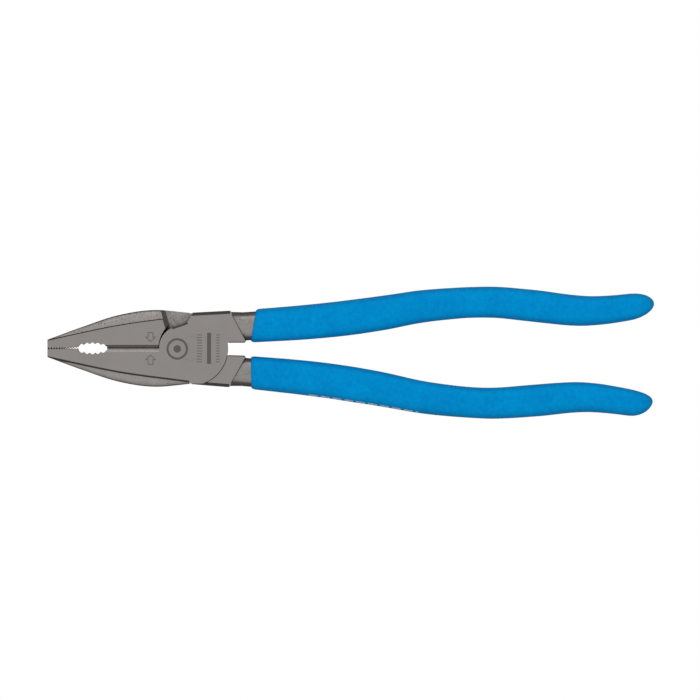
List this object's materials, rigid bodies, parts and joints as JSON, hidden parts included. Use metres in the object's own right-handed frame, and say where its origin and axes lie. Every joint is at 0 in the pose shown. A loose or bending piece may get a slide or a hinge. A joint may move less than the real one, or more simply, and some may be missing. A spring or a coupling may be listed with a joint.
{
  "type": "lineman pliers",
  "caption": "Lineman combination pliers with serrated jaws, a toothed pipe hole, side cutters, a flush lap-joint rivet and dip-coated handles.",
  "frame": {"origin": "where the rivet axis meets the back face, which the closed pliers lie on", "axes": "+X towards the ends of the handles, +Y towards the upper handle, +Z out of the marked front face"},
  "size_m": [0.2253, 0.0492, 0.012],
  "materials": {
    "forged_steel": "ground faces on a phosphated forging",
    "rivet_steel": "ground flush",
    "dipped_vinyl": "satin dipped vinyl"
  },
  "bodies": {
    "rear": {"rear_half": "forged_steel", "lower_grip": "dipped_vinyl"},
    "front": {"front_half": "forged_steel", "rivet": "rivet_steel", "upper_grip": "dipped_vinyl"}
  },
  "joints": [
    {"name": "jaw_pivot", "type": "hinge", "parent": "rear", "child": "front", "pos_m": [0, 0, 0], "axis": [0, 0, 1], "range_deg": [0, 38]}
  ]
}
